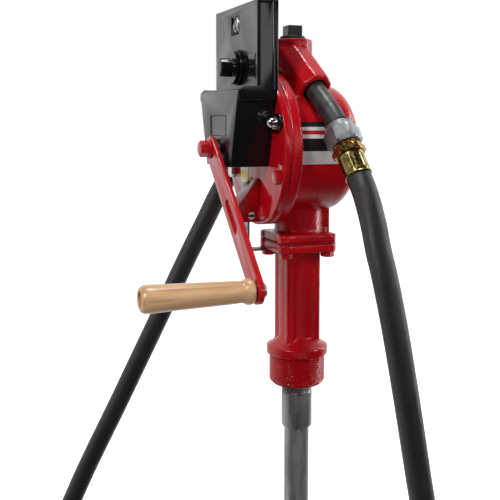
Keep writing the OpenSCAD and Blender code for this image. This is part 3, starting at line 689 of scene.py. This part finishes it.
# ---- Crank -------------------------------------------------------------------
# A flat bar with a slot, bolted on the shaft through a washer, all enamelled.
bar_enamel = enamel("bar_enamel", (0.47, 0.010, 0.014), 0.12)
fit(soft_edged("crank_arm", "crank_bar", 0.7 * mm), "crank", "red_arm", bar_enamel, "crank_arm")
fit(soft_edged("crank_washer", "crank_ring", 0.3 * mm, 2), "crank", "red_fasteners", painted_bolt,
    "crank_washer")
fit(bolt_head("crank_bolt_head", (0, -101 * mm, shaft_height), (0, -1, 0), (0, 0, 1),
              8.6 * mm, 9.5 * mm, 3 * mm, 18 * mm), "crank", "red_fasteners", painted_bolt,
    "crank_bolt")
bright_steel = principled("bright_steel", (0.58, 0.58, 0.59), 0.3, Metallic=1.0)
vary_roughness(bright_steel, object_noise(bright_steel, 300), 0.2, 0.4)
add_bump(bright_steel, object_noise(bright_steel, 1500, (1, 0.1, 1)), 0.03 * mm, 0.5)
fit(soft_edged("grip_spindle", "spindle_pin", 0.3 * mm, 2), "crank", "steel_bright", bright_steel,
    "grip_spindle")
fit(soft_edged("spindle_cap", "spindle_button", 0.8 * mm), "crank", "zinc", zinc, "spindle_cap")

# Beech grip: turned with a collar, a waist and a long swell, and clear varnish. Its
# outline is in millimetres from the inner end.
grip_axis = np.array([128.042, 0, 98.85]) * mm
grip_inner, grip_length = 101 * mm, 104
grip_outline = [(0, 9.0), (0.3, 9.9), (1.4, 11.2), (3, 11.9), (5, 12.1), (7, 11.8), (8.8, 10.9),
                (10, 10.1), (11.5, 9.85), (14, 10.0)]
grip_outline += [(x, 9.8 + 2.9 * x / grip_length) for x in range(20, 92, 8)]
grip_outline += [(93, 12.6), (97, 12.6), (100, 12.3), (102, 11.6), (103.3, 10.6), (103.9, 9.4),
                 (grip_length, 8.2), (103.4, 7.2), (101, 7.0), (91.2, 7.0), (91, 5.1), (0, 5.1)]
wood_profile = [(grip_inner + t * mm, r * mm) for t, r in grip_outline]
beech = principled("varnished_beech", (0.60, 0.36, 0.20), 0.33, Coat_Weight=0.35,
                   Coat_Roughness=0.12)
wood_grain = object_noise(beech, 190, (1, 0.07, 1), 5)
vary_colour(beech, wood_grain, (0.47, 0.25, 0.115), (0.73, 0.45, 0.24), 0.32, 0.66)
add_bump(beech, wood_grain, 0.08 * mm, 0.5)
add_bump(beech, object_noise(beech, 2200, (1, 0.05, 1), 2), 0.05 * mm, 0.5)
fit(turned("beech_grip", grip_axis, (0, -1, 0), wood_profile, 72, joined=True, sharp=50), "grip",
    "beech", beech, "wood_grip")


# ---- Nozzle end --------------------------------------------------------------
# A dull grey spout rests in the head's socket. Its zinc swivel nut takes a brass
# nipple, and a brass ferrule is crimped on the hose.
# The socket's direction has turn 13 and drop 42, in the same way as the hose's ends
holder_direction = np.array([0.7241, 0.1672, -0.6691])
holder_mouth = np.array([43.45, -0.97, 281.85]) * mm
dull_alloy = principled("dull_alloy", (0.09, 0.09, 0.095), 0.42, Metallic=0.7)
vary_colour(dull_alloy, object_noise(dull_alloy, 90, detail=5), (0.04, 0.04, 0.042),
            (0.10, 0.10, 0.103))
vary_roughness(dull_alloy, object_noise(dull_alloy, 200), 0.34, 0.52)
add_bump(dull_alloy, object_noise(dull_alloy, 900), 0.08 * mm, 0.4)
spout_route = np.vstack([holder_mouth + t * mm * holder_direction for t in (-22, -10, 0, 12, 24, 36)]
                        + [bend_point + t * mm * nozzle_direction for t in (8, 15, 22)])
spout_rings = rings_along(smooth_route(spout_route, 8), 10.75 * mm, 48, (0, 1, 0.1))
fit(skin("spout_tube", spout_rings), "nozzle", "spout_steel", dull_alloy, "spout")
black_rubber = principled("black_rubber", (0.014, 0.014, 0.014), 0.5)
add_bump(black_rubber, object_noise(black_rubber, 900), 0.06 * mm)
ring_profile = [(4.5 * mm, 11.1 * mm), (4.5 * mm, 12.4 * mm), (4.9 * mm, 13 * mm), (6.9 * mm, 13 * mm),
                (7.4 * mm, 12.4 * mm), (7.4 * mm, 11.1 * mm)]
fit(turned("spout_sleeve", bend_point, nozzle_direction, ring_profile, joined=True), "nozzle",
    "seal_rubber", black_rubber, "spout_ring")
# Corners of the nut and of the nipple point square to the nozzle, down and to the column
nut_corner = np.array([-0.8011, -0.1126, -0.5878])
bore, nipple_end = 8 * mm, 43 * mm
nut_flats = 18.2 * mm * math.cos(math.pi / 6)
nut_profile = [(7.5 * mm, 10.9 * mm), (7.5 * mm, 12.8 * mm), (7.9 * mm, 13.3 * mm),
               (14 * mm, 15.7 * mm), (14.3 * mm, 16.2 * mm), (16.2 * mm, 18.6 * mm),
               (29.4 * mm, 18.6 * mm), (31.4 * mm, 16.2 * mm),
               (32 * mm, 15.4 * mm), (32 * mm, 13.4 * mm), (31 * mm, 12.8 * mm),
               (22.3 * mm, 12.8 * mm), (22.3 * mm, 10.9 * mm)]
fit(turned("zinc_nut", bend_point, nozzle_direction, nut_profile, 144, nut_corner, nut_flats,
           joined=True, sharp=25), "nozzle", "zinc", matte_zinc, "swivel_nut")
brass = principled("dull_brass", (0.46, 0.26, 0.08), 0.3, Metallic=1.0)
vary_colour(brass, object_noise(brass, 130, detail=4), (0.36, 0.20, 0.055), (0.55, 0.33, 0.11))
vary_roughness(brass, object_noise(brass, 300), 0.16, 0.32)
add_bump(brass, object_noise(brass, 1200), 0.04 * mm, 0.4)


def pipe_thread(start, stop, pitch, depth):
    """Thread between two heights: one less a triangle wave of the height plus a turn."""
    def wave(t, a):
        phase = (t / pitch + a / (2 * np.pi)) % 1
        return 1 - depth * np.abs(2 * phase - 1) * ((t > start) & (t < stop))
    return wave


nipple_profile = ([(22.5 * mm, bore), (22.5 * mm, 12.4 * mm)]
                  + [(t * mm, 12.5 * mm) for t in np.linspace(23, 35.6, 60)]
                  + [(36 * mm, 12.6 * mm), (36 * mm, 15 * mm), (36.9 * mm, 17.2 * mm),
                     (42.1 * mm, 17.2 * mm), (nipple_end, 15 * mm), (nipple_end, bore)])
fit(turned("brass_nipple", bend_point, nozzle_direction, nipple_profile, 144, nut_corner,
           17 * mm * math.cos(math.pi / 6), joined=True,
           wave=pipe_thread(24 * mm, 35.4 * mm, 1.4 * mm, 0.07), sharp=25), "nozzle", "brass",
    brass, "hose_nipple")
yellow_brass = principled("yellow_brass", (0.28, 0.225, 0.085), 0.27, Metallic=1.0)
vary_colour(yellow_brass, object_noise(yellow_brass, 130, detail=4), (0.20, 0.16, 0.055),
            (0.36, 0.29, 0.12))
vary_roughness(yellow_brass, object_noise(yellow_brass, 300), 0.16, 0.34)
add_bump(yellow_brass, object_noise(yellow_brass, 1200), 0.04 * mm, 0.4)


def crimped(name, foot, direction, start, stop, radius, bore):
    """Sleeve pressed into flats and ribs along its length, with a plain lip at each end."""
    def ribs(t, a):
        pressed = np.clip((t - start - 2.5 * mm) / (2 * mm), 0, 1) \
            * np.clip((stop - 3 * mm - t) / (2 * mm), 0, 1)
        return 1 - pressed * 0.025 * (0.5 + 0.5 * np.cos(16 * a)) ** 0.7
    outside = [(start, radius * 0.95), (start + 0.4 * mm, radius * 0.995)]
    outside += [(t, radius) for t in np.linspace(start + mm, stop - 1.2 * mm, 30)]
    outside += [(stop - 0.7 * mm, radius * 1.03), (stop - 0.3 * mm, radius * 1.03), (stop, radius)]
    profile = [(start, bore)] + outside + [(stop, bore)]
    return turned(name, foot, direction, profile, 192, joined=True, wave=ribs, sharp=50)


fit(crimped("nozzle_sleeve", bend_point, nozzle_direction, nipple_end, ferrule_end, 13.1 * mm, bore),
    "nozzle", "ferrule_brass", yellow_brass, "nozzle_ferrule")


# ---- Outlet end --------------------------------------------------------------
# The same fittings on the far side: a brass coupling in the head's outlet and a
# crimped ferrule.
# A corner of the coupling points square to the outlet and down
outlet_corner = np.array([-0.4226 * -0.9994, -0.4226 * 0.0349, -0.9063])
coupling_profile = ([(59 * mm, bore), (59 * mm, 12.7 * mm), (73.9 * mm, 12.9 * mm),
                     (74 * mm, 15 * mm), (74.9 * mm, 16.7 * mm), (85.1 * mm, 16.7 * mm),
                     (86 * mm, 15 * mm), (86.1 * mm, 12.9 * mm), (coupling_end, 12.9 * mm),
                     (coupling_end, bore)])
fit(turned("brass_coupling", outlet_start, outlet_direction, coupling_profile, 144, outlet_corner,
           16.5 * mm * math.cos(math.pi / 6), joined=True, sharp=25), "pump", "brass", brass,
    "outlet_coupling")
fit(crimped("outlet_sleeve", outlet_start, outlet_direction, coupling_end, outlet_end, 13.6 * mm, bore),
    "pump", "ferrule_brass", yellow_brass, "outlet_ferrule")


# ---- Suction tube ------------------------------------------------------------
# Galvanised pipe: a nipple with a threaded end screws up into the column, and the
# thinner tube telescopes in it, with a gland and a slotted foot.
galvanised = principled("galvanised", (0.3, 0.3, 0.302), 0.28, Metallic=0.6)
vary_colour(galvanised, object_noise(galvanised, 120, (1, 1, 0.15), 5), (0.20, 0.198, 0.20),
            (0.42, 0.417, 0.42))
vary_roughness(galvanised, object_noise(galvanised, 200, (1, 1, 0.2)), 0.2, 0.4)
add_bump(galvanised, object_noise(galvanised, 800, (1, 1, 0.2)), 0.06 * mm, 0.4)
nipple_tube = ([(-40 * mm, 13.6 * mm), (-40 * mm, 16.6 * mm), (32 * mm, 16.6 * mm)]
               + [(t * mm, 16.6 * mm) for t in np.linspace(33, 44, 56)]
               + [(46 * mm, 16.6 * mm), (80 * mm, 16.6 * mm), (81 * mm, 16.0 * mm),
                  (81 * mm, 13.6 * mm)])
fit(turned("pipe_nipple", (0, 0, 0), (0, 0, -1), nipple_tube, 96, joined=True,
           wave=pipe_thread(33 * mm, 44 * mm, 2.2 * mm, 0.07), sharp=40), "pump", "tube_steel",
    galvanised, "suction_nipple")


def plain_tube(name, top, bottom, radius, bore):
    """Tube down the column's axis with broken edges."""
    profile = [(-top, bore), (-top, radius - 0.2 * mm), (-top + 0.3 * mm, radius),
               (-bottom - 0.3 * mm, radius), (-bottom, radius - 0.2 * mm), (-bottom, bore)]
    return turned(name, (0, 0, 0), (0, 0, -1), profile, 72, joined=True)


outer_radius, outer_bore = 13.5 * mm, 12 * mm
inner_radius, inner_bore = 11.7 * mm, 10.4 * mm
fit(plain_tube("drop_tube", 39 * mm, -470 * mm, outer_radius, outer_bore), "pump", "tube_steel",
    galvanised, "suction_tube")
fit(plain_tube("sliding_tube", -60 * mm, -502 * mm, inner_radius, inner_bore), "lower_tube",
    "tube_steel", galvanised, "inner_tube")
fit(soft_edged("tube_gland", "gland_nut", 0.5 * mm), "pump", "tube_steel", galvanised, "tube_gland")
grey_nylon = principled("grey_nylon", (0.06, 0.06, 0.062), 0.5)
add_bump(grey_nylon, object_noise(grey_nylon, 700), 0.1 * mm, 0.5)
fit(soft_edged("foot_strainer", "foot_cap", 0.4 * mm, 2), "lower_tube", "foot", grey_nylon,
    "foot_strainer")


# ---- Labels ------------------------------------------------------------------
# Printed vinyl with plain bands where a maker's words would be.
def banded(name, axis, bands, ground):
    """Vinyl whose colour changes at heights along one axis: bands are (from, colour)."""
    vinyl = principled(name, ground, 0.35)
    tree = vinyl.node_tree
    place = tree.nodes.new("ShaderNodeTexCoord")
    axes = tree.nodes.new("ShaderNodeSeparateXYZ")
    tree.links.new(place.outputs["Object"], axes.inputs["Vector"])
    colour = None
    for height, paint in bands:
        step = tree.nodes.new("ShaderNodeMath")
        step.operation = "GREATER_THAN"
        step.inputs[1].default_value = height
        tree.links.new(axes.outputs[axis], step.inputs[0])
        mix = tree.nodes.new("ShaderNodeMix")
        mix.data_type = "RGBA"
        mix.inputs["A"].default_value = (*ground, 1)
        mix.inputs["B"].default_value = (*paint, 1)
        if colour is not None:
            tree.links.new(colour, mix.inputs["A"])
        tree.links.new(step.outputs[0], mix.inputs["Factor"])
        colour = mix.outputs["Result"]
    tree.links.new(colour, tree.nodes["Principled BSDF"].inputs["Base Color"])
    add_bump(vinyl, object_noise(vinyl, 500), 0.02 * mm, 0.4)
    return vinyl


print_white, print_black, print_red = (0.80, 0.78, 0.76), (0.012, 0.011, 0.012), (0.50, 0.012, 0.02)
barrel_print = banded("barrel_print", "Z", [
    (0.2210, print_black), (0.2335, print_white), (0.2375, print_red), (0.2415, print_white),
    (0.2450, print_black)], (0.62, 0.60, 0.60))
cover_print = banded("cover_print", "Z", [
    (0.1735, (0.35, 0.36, 0.38)), (0.1850, print_white), (0.1880, (0.78, 0.66, 0.05)),
    (0.1975, print_white)], print_white)
fit(soft_edged("barrel_label", "barrel_vinyl", 0.05 * mm, 1), "pump", "label", barrel_print,
    "barrel_label")
fit(soft_edged("cover_label", "cover_vinyl", 0.05 * mm, 1), "pump", "label", cover_print,
    "cover_label")
dot_print = banded("dot_print", "Z", [(0.1516, (0.05, 0.06, 0.12)), (0.1544, print_white)],
                   print_white)
fit(soft_edged("bracket_sticker", "hood_dot", 0.05 * mm, 1), "pump", "label", dot_print,
    "bracket_sticker")


# ---- Inner parts -------------------------------------------------------------
# Bearings, rotor, vanes, gears and valve parts, hidden when assembled.
bronze = principled("sintered_bronze", (0.36, 0.21, 0.10), 0.45, Metallic=1.0)
add_bump(bronze, object_noise(bronze, 1500), 0.08 * mm)
machined_iron = principled("machined_iron", (0.25, 0.25, 0.26), 0.4, Metallic=1.0)
add_bump(machined_iron, object_noise(machined_iron, 1500, (1, 0.1, 1)), 0.04 * mm)
carbon = principled("filled_carbon", (0.03, 0.03, 0.032), 0.55)
add_bump(carbon, object_noise(carbon, 900), 0.05 * mm)
nylon = principled("natural_nylon", (0.62, 0.60, 0.52), 0.45, Subsurface_Weight=0.1)
add_bump(nylon, object_noise(nylon, 900), 0.05 * mm)
for material, slot, names in (
        (bronze, "bronze", ("front_bushing", "rear_bushing")),
        (washer_rubber, "seal_rubber", ("shaft_seal",)),
        (bright_steel, "steel_bright", ("rotor_shaft", "wheel_axle", "gear_stud", "counter_screws",
                                        "strainer_screen")),
        (machined_iron, "rotor_iron", ("rotor",)),
        (carbon, "vane_carbon", ("vanes",)),
        (nylon, "gear_plastic", ("drive_pinion", "counter_gear")),
        (brass, "brass", ("valve_seat", "inlet_valve"))):
    for name in names:
        nodes[name].data.materials.clear()
        nodes[name].data.materials.append(material)
